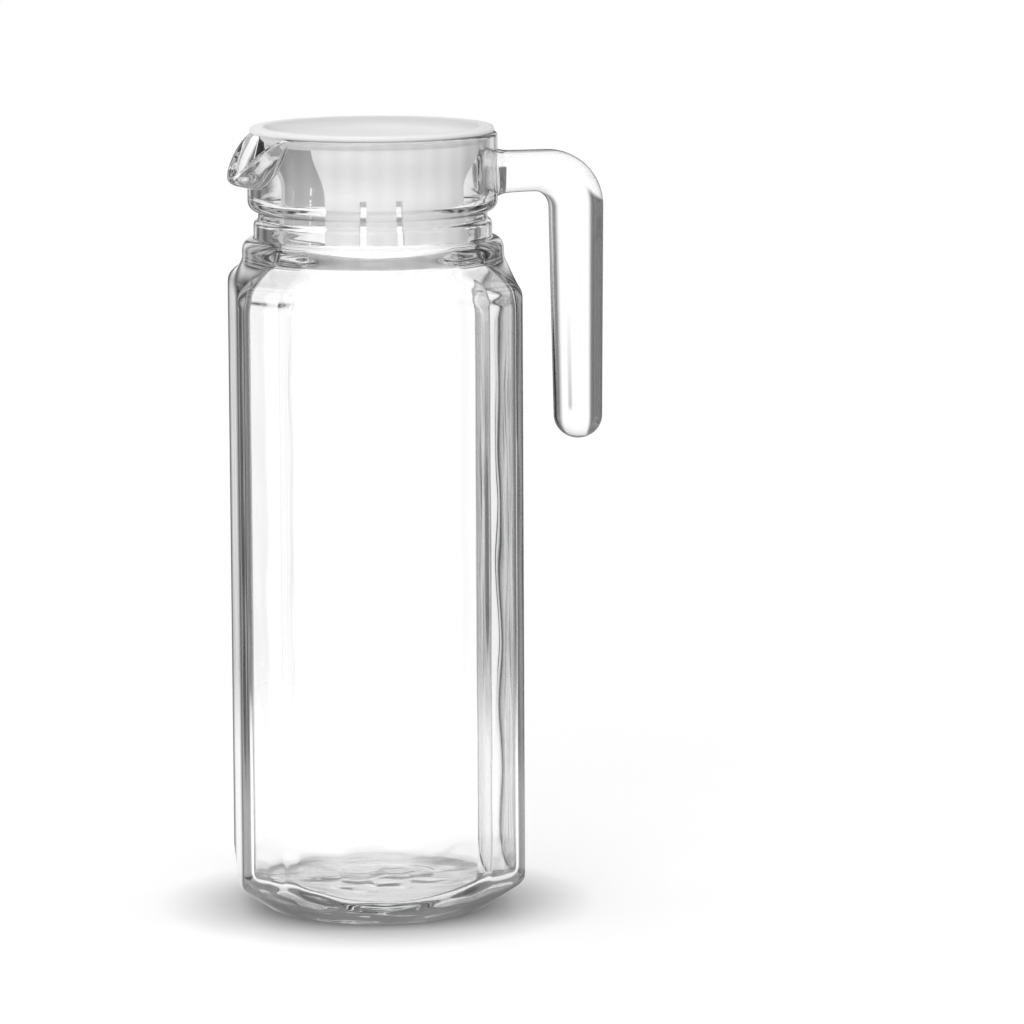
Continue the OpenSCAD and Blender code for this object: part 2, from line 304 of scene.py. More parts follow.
class Shader:
    """Node tree of one material or of the world."""

    def __init__(self, tree: bpy.types.NodeTree) -> None:
        """Empties the tree."""
        self.tree = tree
        tree.nodes.clear()

    def node(self, kind: str, settings: dict | None = None, inputs: dict | None = None) -> bpy.types.Node:
        """Adds one node.

        Args:
            kind: Type of the node.
            settings: Properties that are set first.
            inputs: Values or channels for its sockets, by name or number.

        Returns:
            The node.
        """
        made = self.tree.nodes.new(kind)
        for key, value in (settings or {}).items():
            setattr(made, key, value)
        for key, value in (inputs or {}).items():
            if isinstance(value, Channel):
                self.tree.links.new(value.socket, made.inputs[key])
            else:
                made.inputs[key].default_value = value
        return made

    def out(self, made: bpy.types.Node, name: str | int = 0) -> Channel:
        """Wraps an output of a node."""
        return Channel(self, made.outputs[name])

    def maths(self, operation: str, *values: Channel | float, clamp: bool = False) -> Channel:
        """Adds one Math node with those inputs and returns its result."""
        made = self.node("ShaderNodeMath", {"operation": operation, "use_clamp": clamp},
                         dict(enumerate(values)))
        return self.out(made)

    def mix_colour(self, factor: Channel, first: Channel | Colour, second: Channel | Colour) -> Channel:
        """Mixes two colours by a factor and returns the result."""
        made = self.node("ShaderNodeMix", {"data_type": "RGBA"}, {0: factor, 6: first, 7: second})
        return self.out(made, 2)

    def object_axes(self) -> tuple[Channel, ...]:
        """Object coordinates along x, y and z, in metres."""
        place = self.node("ShaderNodeTexCoord")
        parts = self.node("ShaderNodeSeparateXYZ", inputs={0: self.out(place, "Object")})
        return tuple(self.out(parts, axis) for axis in "XYZ")

    def transparent(self, grey: float) -> Channel:
        """Adds a Transparent shader that lets that share of the light through."""
        return self.out(self.node("ShaderNodeBsdfTransparent", inputs={"Color": (grey, grey, grey, 1)}))

    def mix_shaders(self, factor: Channel, first: Channel, second: Channel) -> Channel:
        """Mixes two shaders by a factor and returns the result."""
        return self.out(self.node("ShaderNodeMixShader", inputs={0: factor, 1: first, 2: second}))

    def noise(self, scale: float, detail: float,
              stretch: tuple[float, float, float] = (1, 1, 1)) -> Channel:
        """Noise over the object.

        Args:
            scale: Scale of the noise.
            detail: Number of finer layers.
            stretch: Scale along each axis.

        Returns:
            The noise from 0 to 1.
        """
        place = self.node("ShaderNodeTexCoord")
        mapped = self.node("ShaderNodeMapping", inputs={
            "Vector": self.out(place, "Object"), "Scale": stretch})
        made = self.node("ShaderNodeTexNoise", inputs={
            "Vector": self.out(mapped), "Scale": scale, "Detail": detail, "Roughness": 0.55})
        return self.out(made)

    def finish(self, kind: str, surface: Channel, volume: Channel | None = None) -> None:
        """Adds the output node of that kind."""
        links = {"Surface": surface}
        if volume is not None:
            links["Volume"] = volume
        self.node(kind, inputs=links)


def new_material(name: str) -> tuple[bpy.types.Material, Shader]:
    """Makes an empty material and its shader."""
    made = bpy.data.materials.new(name)
    made.use_nodes = True
    return made, Shader(made.node_tree)


@dataclass(frozen=True)
class GlassFinish:
    """Clear fire-polished glass with painted shade, darker where it is seen at a slant, with faint waves and
    wiped smears.

    Cycles follows only a few reflections, so light that stays trapped in the glass would turn black. It is
    let out after `mirrors` reflections. A painted dark outline, a painted shade, darkens the glass away from
    the middle planes, from `rim_from` on. A value below zero there darkens all of it. Sizes in metres.
    """

    name: str
    face: Colour = (0.998, 0.999, 0.998, 1)
    # painted shade: the dark colour the glass takes where it is seen at a slant
    edge: Colour = (0.05, 0.053, 0.053, 1)
    ior: float = 1.5
    painted_slant_power: float = 2.6
    shade_face: float = 0.82
    shade_slant: float = 0.35
    body_colour: Colour = (0.7, 0.72, 0.715, 1)
    body_density: float = 7
    wave_scale: float = 55
    wave_detail: float = 1.5
    wave_stretch: tuple[float, float, float] = (1, 1, 0.45)
    wave_height: float = 0.02
    wave_depth: float = 0.004
    smear: float = 0.015
    smear_scale: float = 24
    smear_detail: float = 4
    smear_stretch: tuple[float, float, float] = (1, 1, 2)
    mirrors: float = 2.5
    let_out: float = 0.42
    painted_outline_shade: Colour = (0.03, 0.03, 0.03, 1)
    painted_outline_power: float = 4
    rim_from: float = 0.012
    rim_width: float = 0.012

    def material(self) -> bpy.types.Material:
        """Makes the glass."""
        made, shader = new_material(self.name)
        facing = shader.out(shader.node("ShaderNodeLayerWeight", inputs={"Blend": 0.5}), "Facing")
        slant = facing ** self.painted_slant_power
        waves = shader.noise(self.wave_scale, self.wave_detail, self.wave_stretch)
        bump = shader.node("ShaderNodeBump", inputs={
            "Strength": self.wave_height, "Distance": self.wave_depth, "Height": waves})
        smears = shader.noise(self.smear_scale, self.smear_detail, self.smear_stretch)
        # painted shade: Base Color runs from the face colour to the dark edge colour where the glass is seen
        # at a slant
        clear = shader.out(shader.node("ShaderNodeBsdfPrincipled", inputs={
            "Base Color": shader.mix_colour(slant, self.face, self.edge),
            "Roughness": smears.maths("SUBTRACT", 0.5, clamp=True) * self.smear,
            "IOR": self.ior, "Transmission Weight": 1.0, "Normal": shader.out(bump)}))
        # painted shade: a dark diffuse mixed in at grazing view near the upright edges draws a dark outline
        rim = shader.out(shader.node("ShaderNodeBsdfDiffuse", inputs={"Color": self.painted_outline_shade}))
        with_painted_outline = shader.mix_shaders(facing ** self.painted_outline_power * self.outline_shade_mask(shader), clear, rim)
        path = shader.node("ShaderNodeLightPath")
        trapped = shader.out(path, "Glossy Depth").maths("GREATER_THAN", self.mirrors)
        freed = shader.mix_shaders(trapped, with_painted_outline, shader.transparent(self.let_out))
        shade = shader.mix_shaders(
            slant, shader.transparent(self.shade_face), shader.transparent(self.shade_slant))
        surface = shader.mix_shaders(shader.out(path, "Is Shadow Ray"), freed, shade)
        body = shader.node("ShaderNodeVolumeAbsorption", inputs={
            "Color": self.body_colour, "Density": self.body_density})
        shader.finish("ShaderNodeOutputMaterial", surface, shader.out(body))
        return made

    def outline_shade_mask(self, shader: Shader) -> Channel:
        """Mask of the painted dark outline: runs from 0 near the middle planes of the object to 1 towards
        its upright edges.
        """
        across, along = (axis.maths("ABSOLUTE") for axis in shader.object_axes()[:2])
        return (across.maths("MINIMUM", along) - self.rim_from).maths("DIVIDE", self.rim_width, clamp=True)


@dataclass(frozen=True)
class PlasticFinish:
    """Satin white moulded plastic that lets a little light through, with moulding texture and scuffs.

    A painted shade darkens the corner of the dished top: from `corner_from` to `corner_full` it deepens, it
    ends at `corner_end`, and it lies above `corner_z`. Sizes in metres.
    """

    name: str
    colour: Colour = (0.87, 0.87, 0.87, 1)
    worn: Colour = (0.82, 0.82, 0.815, 1)
    painted_corner_shade: Colour = (0.66, 0.66, 0.655, 1)
    corner_from: float = 0.0265
    corner_full: float = 0.031
    corner_end: float = 0.033
    corner_end_w: float = 0.0012
    corner_z: float = 0.2308
    corner_rise: float = 0.0004
    roughness: float = 0.38
    roughness_swing: float = 0.16
    ior: float = 1.5
    scuff_scale: float = 38
    scuff_detail: float = 3
    grain_scale: float = 900
    grain_detail: float = 2
    grain_height: float = 0.08
    grain_depth: float = 0.0004
    glow: float = 0.35
    glow_r: float = 0.004

    def material(self) -> bpy.types.Material:
        """Makes the plastic."""
        made, shader = new_material(self.name)
        scuffs = shader.noise(self.scuff_scale, self.scuff_detail)
        colour = shader.mix_colour(scuffs, self.colour, self.worn)
        # painted shade: the corner of the dished top is darkened
        colour = shader.mix_colour(self.corner_shade_mask(shader), colour, self.painted_corner_shade)
        grain = shader.noise(self.grain_scale, self.grain_detail)
        bump = shader.node("ShaderNodeBump", inputs={
            "Strength": self.grain_height, "Distance": self.grain_depth, "Height": grain})
        rough = scuffs * self.roughness_swing + (self.roughness - self.roughness_swing / 2)
        plastic = shader.node("ShaderNodeBsdfPrincipled", inputs={
            "Base Color": colour, "Roughness": rough, "IOR": self.ior, "Normal": shader.out(bump),
            "Subsurface Weight": self.glow, "Subsurface Radius": (self.glow_r, self.glow_r, self.glow_r),
            "Subsurface Scale": 1.0})
        shader.finish("ShaderNodeOutputMaterial", shader.out(plastic))
        return made

    def corner_shade_mask(self, shader: Shader) -> Channel:
        """Mask of the painted corner shade: runs from 0 to 1 in the corner of the dished top."""
        x, y, z = shader.object_axes()
        radius = (x * x + y * y).maths("SQRT")
        deepens = (radius - self.corner_from).maths(
            "DIVIDE", self.corner_full - self.corner_from, clamp=True)
        ends = (self.corner_end - radius).maths("DIVIDE", self.corner_end_w, clamp=True)
        above = (z - self.corner_z).maths("DIVIDE", self.corner_rise, clamp=True)
        return deepens * ends * above


# Pieces


@dataclass(frozen=True)
class Shoulder:
    """How the body's section is drawn in to the round neck. Sizes in millimetres.

    It is round from `top` up and has the full section `drop` below. `soft` is how softly it gets there,
    as a share of the drop.
    """

    top: float
    drop: float
    soft: float
    round_soft: float = 0.2


@dataclass
class JugBody:
    """Glass body with its neck, collar and drooping lip, as one closed skin. Sizes in millimetres."""

    glass: GlassFinish
    half_flats: float = 42
    half_wide: float = 29.35
    edge_r: float = 6
    inner_edge_r: float = 5
    wall_t: float = 3.3
    floor_t: float = 7
    foot_r: float = 33.3
    foot_edge_r: float = 2
    push_up_r: float = 28
    push_up_h: float = 2
    heel_angle: float = 34
    shoulder_h: float = 197.8
    shoulder_angle: float = 27
    shoulder_r: float = 8
    inner_shoulder_r: float = 20
    ring_r: float = 39
    ring_top_z: float = 198.7
    neck_r: float = 35.5
    neck_z: float = 202.2
    neck_h: float = 4
    groove_r: float = 34.1
    groove_h: float = 2.3
    neck_bore_r: float = 30.8
    collar_r: float = 37.2
    mouth_r: float = 33.5
    mouth_z: float = 214.4
    mouth_taper_h: float = 5
    rim_edge_r: float = 1
    top_z: float = 233.2
    neck_turn: float = 8
    lip_reach: float = 6.3
    lip_droop: float = 12
    lip_root_h: float = 15.6
    lip_half_angle: float = 33.5
    lip_t: float = 2.8
    lip_belly_h: float = 3.4
    lip_floor_t: float = 1.6
    lip_corner_h: float = 6
    lip_tip_share: float = 0.42
    lip_droop_power: float = 1.56
    shoulder: Shoulder = Shoulder(196, 6.65, 0.6)
    inner_shoulder: Shoulder = Shoulder(201.5, 14, 0.5)
    heel_blend: float = 3.5
    inner_blend: float = 5
    blank_margin: float = 7
    outer_soft: float = 0.45
    inner_soft: float = 0.6
    outer_spacing: tuple[float, float] = (0.3, 0.8)
    inner_spacing: tuple[float, float] = (0.35, 0.9)
    wall_spacing: float = 3
    edge_columns: tuple[float, float] = (31.5, 39.5)
    lip_column_step: float = 0.55
    lip_column_margin: float = 2
    floor_wave: Ripple = Ripple(5, (23, 16))
    floor_wave_h: float = 0.3
    floor_wave_top_h: float = 9
    floor_wave_fade_h: float = 8
    wall_wave: Ripple = Ripple(11, (14, 60))
    wall_wave_r: float = 40
    wall_wave_h: float = 0.035
    wall_wave_gap: float = 14
    wall_wave_fade_h: float = 20
    heel_wave_h: float = 0.1
    heel_wave_z: float = 14
    heel_wave_w: float = 9
    still_r: float = 30
    still_fade_w: float = 8

    def section_r(self, angle: np.ndarray, flats: float, chamfer: float, radius: float) -> np.ndarray:
        """Radius of a square with cut corners and rounded edges.

        Args:
            angle: Angles round the axis in degrees.
            flats: Distance of the wide faces from the axis.
            chamfer: Distance of the cut corners from the axis.
            radius: Radius of the upright edges.

        Returns:
            The radius at each angle.
        """
        fold = np.radians(45 - np.abs(np.mod(angle, 90) - 45))
        inset = chamfer * math.sqrt(2) - flats - radius * math.tan(math.pi / 8)
        centre = np.array([flats - radius, inset])
        along = centre[0] * np.cos(fold) + centre[1] * np.sin(fold)
        root = np.maximum(radius**2 - centre @ centre + along**2, 0)
        first = math.atan2(inset, flats)
        leg = radius * math.sqrt(0.5)
        second = math.atan2(centre[1] + leg, centre[0] + leg)
        flat = flats / np.cos(fold)
        cut = chamfer / np.cos(math.pi / 4 - fold)
        return np.where(fold < first, flat, np.where(fold < second, along + np.sqrt(root), cut))

    def columns(self) -> np.ndarray:
        """Angles of the columns in degrees, closest at the body's upright edges."""
        edge_from, edge_to = self.edge_columns
        octant = np.concatenate([
            np.linspace(0, edge_from, 18, endpoint=False),
            np.linspace(edge_from, edge_to, 17, endpoint=False),
            np.linspace(edge_to, 45, 3, endpoint=False)])
        quarter = np.concatenate([octant, 90 - octant[:0:-1], [45]])
        quarter.sort()
        every = np.concatenate([quarter + 90 * k for k in range(4)])
        half = self.lip_half_angle + self.lip_column_margin
        spout = np.arange(-half, half, self.lip_column_step) + 180 + self.neck_turn
        return np.unique(np.round(np.concatenate([every, spout]), 3))

    def slope_z(self, radius: float) -> float:
        """Height of the outside of the shoulder's slope at that radius."""
        turn = math.radians(self.shoulder_angle)
        tangent_r = self.ring_r + self.shoulder_r * (1 - math.sin(turn))
        tangent_z = self.shoulder_h - self.shoulder_r * math.cos(turn)
        return tangent_z - (radius - tangent_r) * math.tan(turn)

    def outer_line(self, blank: float) -> np.ndarray:
        """Outline of the outside below the collar, before the wide faces cut it."""
        heel = math.radians(self.heel_angle)
        bow = np.linspace(0, 1, 24)
        foot = self.foot_r - self.foot_edge_r * math.tan(heel / 2)
        return np.vstack([
            np.column_stack([self.push_up_r * bow, self.push_up_h * (1 - bow**2)]),
            arc((foot, self.foot_edge_r), self.foot_edge_r, -90, self.heel_angle - 90, 8),
            [[blank, (blank - self.foot_r) * math.tan(heel)], [blank, self.slope_z(blank)]],
            arc((self.ring_r + self.shoulder_r, self.shoulder_h), self.shoulder_r,
                270 - self.shoulder_angle, 180, 16),
            arc((self.neck_r, self.ring_top_z), self.ring_r - self.neck_r, 0, 90, 12),
            arc((self.groove_r, self.neck_z + self.neck_h), self.neck_r - self.groove_r, 0, 90, 8),
            arc((self.groove_r, self.belly_z()), self.collar_r - self.groove_r, -90, 0, 12)])

    def belly_z(self) -> float:
        """Height at which the collar reaches its full radius."""
        return (self.neck_z + self.neck_h + self.neck_r - self.groove_r + self.groove_h
                + self.collar_r - self.groove_r)

    def inner_line(self, blank: float) -> np.ndarray:
        """Outline of the hollow from the mouth down to the middle of the floor."""
        heel = math.radians(self.heel_angle)
        turn = math.radians(self.shoulder_angle)
        drop = self.wall_t / math.cos(turn)
        tangent_r = self.neck_bore_r + self.inner_shoulder_r * (1 - math.sin(turn))
        neck = self.slope_z(tangent_r) - drop + self.inner_shoulder_r * math.cos(turn)
        corner = (self.foot_r + (self.floor_t - self.wall_t / math.cos(heel)) / math.tan(heel)
                  - self.inner_edge_r * math.tan(heel / 2))
        share = np.linspace(1, 0, 14)
        taper = np.column_stack([
            self.neck_bore_r + (self.mouth_r - self.neck_bore_r) * ease(share),
            self.mouth_z - self.mouth_taper_h * (1 - share)])
        return np.vstack([
            taper,
            arc((self.neck_bore_r + self.inner_shoulder_r, neck), self.inner_shoulder_r,
                180, 270 - self.shoulder_angle, 24),
            [[blank, self.slope_z(blank) - drop],
             [blank, (blank - self.foot_r) * math.tan(heel) + self.wall_t / math.cos(heel)]],
            arc((corner, self.floor_t + self.inner_edge_r), self.inner_edge_r,
                self.heel_angle - 90, -90, 10),
            [[0, self.floor_t]]])

    def lip_rows(self, angle: np.ndarray) -> tuple[np.ndarray, np.ndarray]:
        """Collar and lip from the collar's full radius up, over the rim and down to the mouth.

        Args:
            angle: Angles round the axis in degrees.

        Returns:
            Radii and heights, one row for each step and one column for each angle.
        """
        t = np.minimum(np.abs(np.mod(angle - self.neck_turn, 360) - 180) / self.lip_half_angle, 1)
        bulge = 1 - t**2
        rim_top = self.top_z - self.lip_droop * np.cos(np.pi / 2 * t) ** self.lip_droop_power
        low = self.top_z - 2 * self.rim_edge_r
        root = low + (self.top_z - self.lip_root_h - low) * (1 - t**4)
        tip = self.rim_edge_r + (self.lip_t * self.lip_tip_share - self.rim_edge_r) * bulge
        out = self.collar_r + self.lip_reach * bulge
        into = self.mouth_r + (self.collar_r + self.lip_reach - self.lip_t - self.mouth_r) * bulge
        rim = rim_top - tip
        belly = np.minimum(self.lip_belly_h, rim - root)
        channel = root + np.minimum(self.lip_floor_t, (rim - root) / 2)
        corner = np.minimum(self.lip_corner_h, rim - channel)
        radii, heights = [], []

        def put(radius: np.ndarray, height: np.ndarray) -> None:
            """Adds one row."""
            radii.append(np.broadcast_to(radius, t.shape))
            heights.append(np.broadcast_to(height, t.shape))

        for share in np.linspace(0, 1, 12)[1:-1]:
            put(np.array(self.collar_r), self.belly_z() + (root - self.belly_z()) * share)
        for a in np.radians(np.linspace(0, 90, 11)):
            put(self.collar_r + (out - self.collar_r) * math.sin(a), root + belly * (1 - math.cos(a)))
        for share in np.linspace(0, 1, 6)[1:-1]:
            put(out, root + belly + (rim - root - belly) * share)
        for a in np.radians(np.linspace(0, 90, 8)):
            put(out - tip + tip * math.cos(a), rim + tip * math.sin(a))
        for a in np.radians(np.linspace(90, 180, 8)):
            put(into + tip + tip * math.cos(a), rim + tip * math.sin(a))
        for a in np.radians(np.linspace(0, 90, 11)[1:]):
            put(self.mouth_r + (into - self.mouth_r) * math.cos(a), channel + corner * (1 - math.sin(a)))
        for share in np.linspace(0, 1, 12)[1:-1]:
            put(np.array(self.mouth_r), channel + (self.mouth_z - channel) * share)
        return np.array(radii), np.array(heights)

    def build(self) -> bpy.types.Object:
        """Builds the jug's skin.

        Returns:
            The jug, in metres.
        """
        angle = self.columns()
        chamfer = (self.half_flats + self.half_wide) / math.sqrt(2)
        blank = chamfer + self.blank_margin
        outside = thin_out(soften(self.outer_line(blank), self.outer_soft), *self.outer_spacing)
        inside = thin_out(soften(self.inner_line(blank), self.inner_soft), *self.inner_spacing)
        outside = self.open_wall(outside, blank, self.wall_spacing)
        inside = self.open_wall(inside, blank, self.wall_spacing)
        flats = self.section_r(angle, self.half_flats, chamfer, self.edge_r)
        inner = self.section_r(
            angle, self.half_flats - self.wall_t, chamfer - self.wall_t, self.inner_edge_r)
        out_r = self.fit_section(outside, flats, self.heel_blend, self.ring_r, self.shoulder)
        in_r = self.fit_section(inside, inner, self.inner_blend, self.neck_bore_r, self.inner_shoulder)
        out_z = np.broadcast_to(outside[:, 1:], out_r.shape)
        in_z = np.broadcast_to(inside[:, 1:], in_r.shape)
        lip_r, lip_z = self.lip_rows(angle)
        in_r, in_z = self.wave(angle, in_r, in_z)
        radius = np.vstack([out_r[1:], lip_r, in_r[:-1]])
        height = np.vstack([out_z[1:], lip_z, in_z[:-1]])
        turn = np.radians(angle)[None]
        grid = np.stack([radius * np.cos(turn), radius * np.sin(turn), height], axis=-1)
        skin = Skin()
        skin.add_grid(grid, start_pole=True, end_pole=True)
        return skin.make("jug_glass")

    def fit_section(self, line: np.ndarray, section: np.ndarray, blend: float, round_r: float,
                    shoulder: Shoulder) -> np.ndarray:
        """Shapes a round outline to the body's section.

        Its faces cut the outline at the heel, and at the shoulder the faces and edges are drawn in evenly
        to the round neck.

        Args:
            line: Outline, as radius and height in rows.
            section: Radius of the body's section at each angle.
            blend: Width of the rounding at the heel.
            round_r: Radius at which the shoulder has become round.
            shoulder: Where and how softly it does so.

        Returns:
            Radii, one row for each point of the outline and one column for each angle.
        """
        radius, height = line[:, :1], line[:, 1:]
        down = (shoulder.top - height) / shoulder.drop
        share = soft_min(down, np.ones_like(down), shoulder.soft)
        share = -soft_min(-share, np.zeros_like(down), shoulder.round_soft)
        cut = soft_min(radius, section[None], blend)
        drawn = np.where(share > 0, round_r + (section[None] - round_r) * share, radius)
        return np.where(height < self.shoulder_h / 2, cut, drawn)

    @staticmethod
    def open_wall(line: np.ndarray, blank: float, step: float) -> np.ndarray:
        """Spaces the points of the upright wall evenly.

        Args:
            line: Outline with the wall at the blank radius.
            blank: That radius.
            step: Spacing on the wall.

        Returns:
            The outline with fewer points on the wall.
        """
        wall = np.where(line[:, 0] > blank - 0.05)[0]
        first, last = wall[0], wall[-1]
        count = int(abs(line[last, 1] - line[first, 1]) / step)
        share = np.linspace(0, 1, count + 1)[:, None]
        middle = line[first] + (line[last] - line[first]) * share
        return np.vstack([line[:first], middle, line[last + 1:]])

    def wave(self, angle: np.ndarray, radius: np.ndarray,
             height: np.ndarray) -> tuple[np.ndarray, np.ndarray]:
        """Gives the hollow the uneven surface that blowing leaves.

        The floor has waves of its own. Those of the walls are strongest at the heel, and fade out towards
        the neck and the jug's axis.

        Args:
            angle: Angles round the axis in degrees.
            radius: Radii of the hollow.
            height: Heights of the hollow.

        Returns:
            The radii and heights with the waves on them.
        """
        turn = np.radians(angle)[None]
        x, y = radius * np.cos(turn), radius * np.sin(turn)
        floor = ease((self.floor_t + self.floor_wave_top_h - height) / self.floor_wave_fade_h)
        rise = self.floor_wave.at(x, y) * self.floor_wave_h * floor
        walls = self.wall_wave.at(turn * self.wall_wave_r, height)
        near_heel = np.exp(-((height - self.heel_wave_z) / self.heel_wave_w) ** 2)
        below_neck = ease((self.neck_z - self.wall_wave_gap - height) / self.wall_wave_fade_h)
        out = walls * (self.wall_wave_h + self.heel_wave_h * near_heel) * below_neck
        return radius + out * ease((radius - self.still_r) / self.still_fade_w), height + rise

    def dress(self, made: bpy.types.Object) -> None:
        """Gives the jug its glass and its place in the model."""
        made.data.materials.append(self.glass.material())
        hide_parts("jug")
        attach(made, Body.JUG.value)


@dataclass
class Handle:
    """Glass handle, fused to the collar at its root and free at its lower end. Sizes in millimetres."""

    glass: GlassFinish
    collar_r: float = 37.2
    fuse_depth: float = 0.3
    neck_turn: float = 8
    top_z: float = 226.7
    reach: float = 70.55
    arm_h: float = 12.4
    length: float = 87.4
    bend_r: float = 17
    inner_bend_r: float = 5
    grip_top_w: float = 16.3
    grip_end_w: float = 14.4
    grip_lean: float = 0.5
    thickness: float = 13
    flare: float = 1.6
    flare_l: float = 5
    sag: float = 0.6
    flare_rise: float = 0.45
    power: float = 2.5
    seat_blend: float = 4
    sides: int = 56
    arm_rings: int = 26

    def stations(self) -> list[tuple[np.ndarray, np.ndarray, float]]:
        """Outer point, finger-side point and thickness of each ring, from the root to the free end."""
        outer_mid = np.array([self.reach - self.bend_r, self.top_z - self.bend_r])
        inner_mid = np.array([self.reach - self.grip_top_w - self.inner_bend_r,
                              self.top_z - self.arm_h - self.inner_bend_r])
        start = self.collar_r - self.fuse_depth
        rings = []
        for share in np.linspace(0, 1, self.arm_rings)[:-1]:
            outer_x = start + (outer_mid[0] - start) * share
            inner_x = start + (inner_mid[0] - start) * share
            swell = self.flare * math.exp(-((outer_x - start) / (self.flare_l / 2)) ** 2)
            sag = self.sag * (1 - share) ** 2
            rings.append((np.array([outer_x, self.top_z + swell * self.flare_rise]),
                          np.array([inner_x, self.top_z - self.arm_h - sag - swell / 2]),
                          self.thickness + 2 * swell))
        for a in np.radians(np.linspace(90, 0, 29)):
            turn = np.array([math.cos(a), math.sin(a)])
            rings.append((outer_mid + self.bend_r * turn, inner_mid + self.inner_bend_r * turn,
                          self.thickness))
        bend_outer, bend_inner, _ = rings[-1]
        end = np.array([self.reach - self.grip_lean - self.grip_end_w / 2,
                        self.top_z - self.length + self.grip_end_w / 2])
        half = np.array([self.grip_end_w / 2, 0])
        for share in np.linspace(0, 1, 26)[1:]:
            rings.append((bend_outer + (end + half - bend_outer) * share,
                          bend_inner + (end - half - bend_inner) * share, self.thickness))
        for a in np.radians(np.linspace(0, 90, 15)[1:-1]):
            middle = end - [0, half[0] * math.sin(a)]
            rings.append((middle + half * math.cos(a), middle - half * math.cos(a),
                          self.thickness * math.cos(a)))
        return rings

    def seat_x(self, across: np.ndarray) -> np.ndarray:
        """How far out the collar's face lies, at those distances to the side."""
        return np.sqrt((self.collar_r - self.fuse_depth) ** 2 - across**2)

    def build(self) -> bpy.types.Object:
        """Builds the handle's skin.

        Returns:
            The handle, in metres.
        """
        around = np.linspace(0, 2 * np.pi, self.sides, endpoint=False)
        along = np.sign(np.cos(around)) * np.abs(np.cos(around)) ** (2 / self.power)
        across = np.sign(np.sin(around)) * np.abs(np.sin(around)) ** (2 / self.power)
        rows = []
        for outer, inner, thickness in self.stations():
            middle, half = (outer + inner) / 2, (outer - inner) / 2
            rows.append(np.column_stack([
                middle[0] + half[0] * along, thickness / 2 * across, middle[1] + half[1] * along]))
        grid = np.array(rows)
        near = np.exp(-((grid[..., 0] - self.collar_r) / self.seat_blend) ** 2)
        near[0] = 1
        shift = (self.seat_x(grid[..., 1]) - (self.collar_r - self.fuse_depth)) * near
        grid[..., 0] += np.where(np.arange(len(grid))[:, None] < self.arm_rings, shift, 0)
        root = grid[0]
        middle = root.mean(axis=0)
        cap = []
        for share in np.linspace(0, 1, 9)[1:-1]:
            ring = middle + (root - middle) * share
            ring[:, 0] = self.seat_x(ring[:, 1])
            cap.append(ring)
        grid = np.concatenate([np.array(cap), grid])
        turn = math.radians(self.neck_turn)
        x, y = grid[..., 0].copy(), grid[..., 1].copy()
        grid[..., 0] = x * math.cos(turn) - y * math.sin(turn)
        grid[..., 1] = x * math.sin(turn) + y * math.cos(turn)
        skin = Skin()
        skin.add_grid(grid[::-1], start_pole=True, end_pole=True)
        return skin.make("handle_glass")

    def dress(self, made: bpy.types.Object) -> None:
        """Gives the handle its glass and its place in the model."""
        made.data.materials.append(self.glass.material())
        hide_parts("handle")
        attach(made, Body.JUG.value)


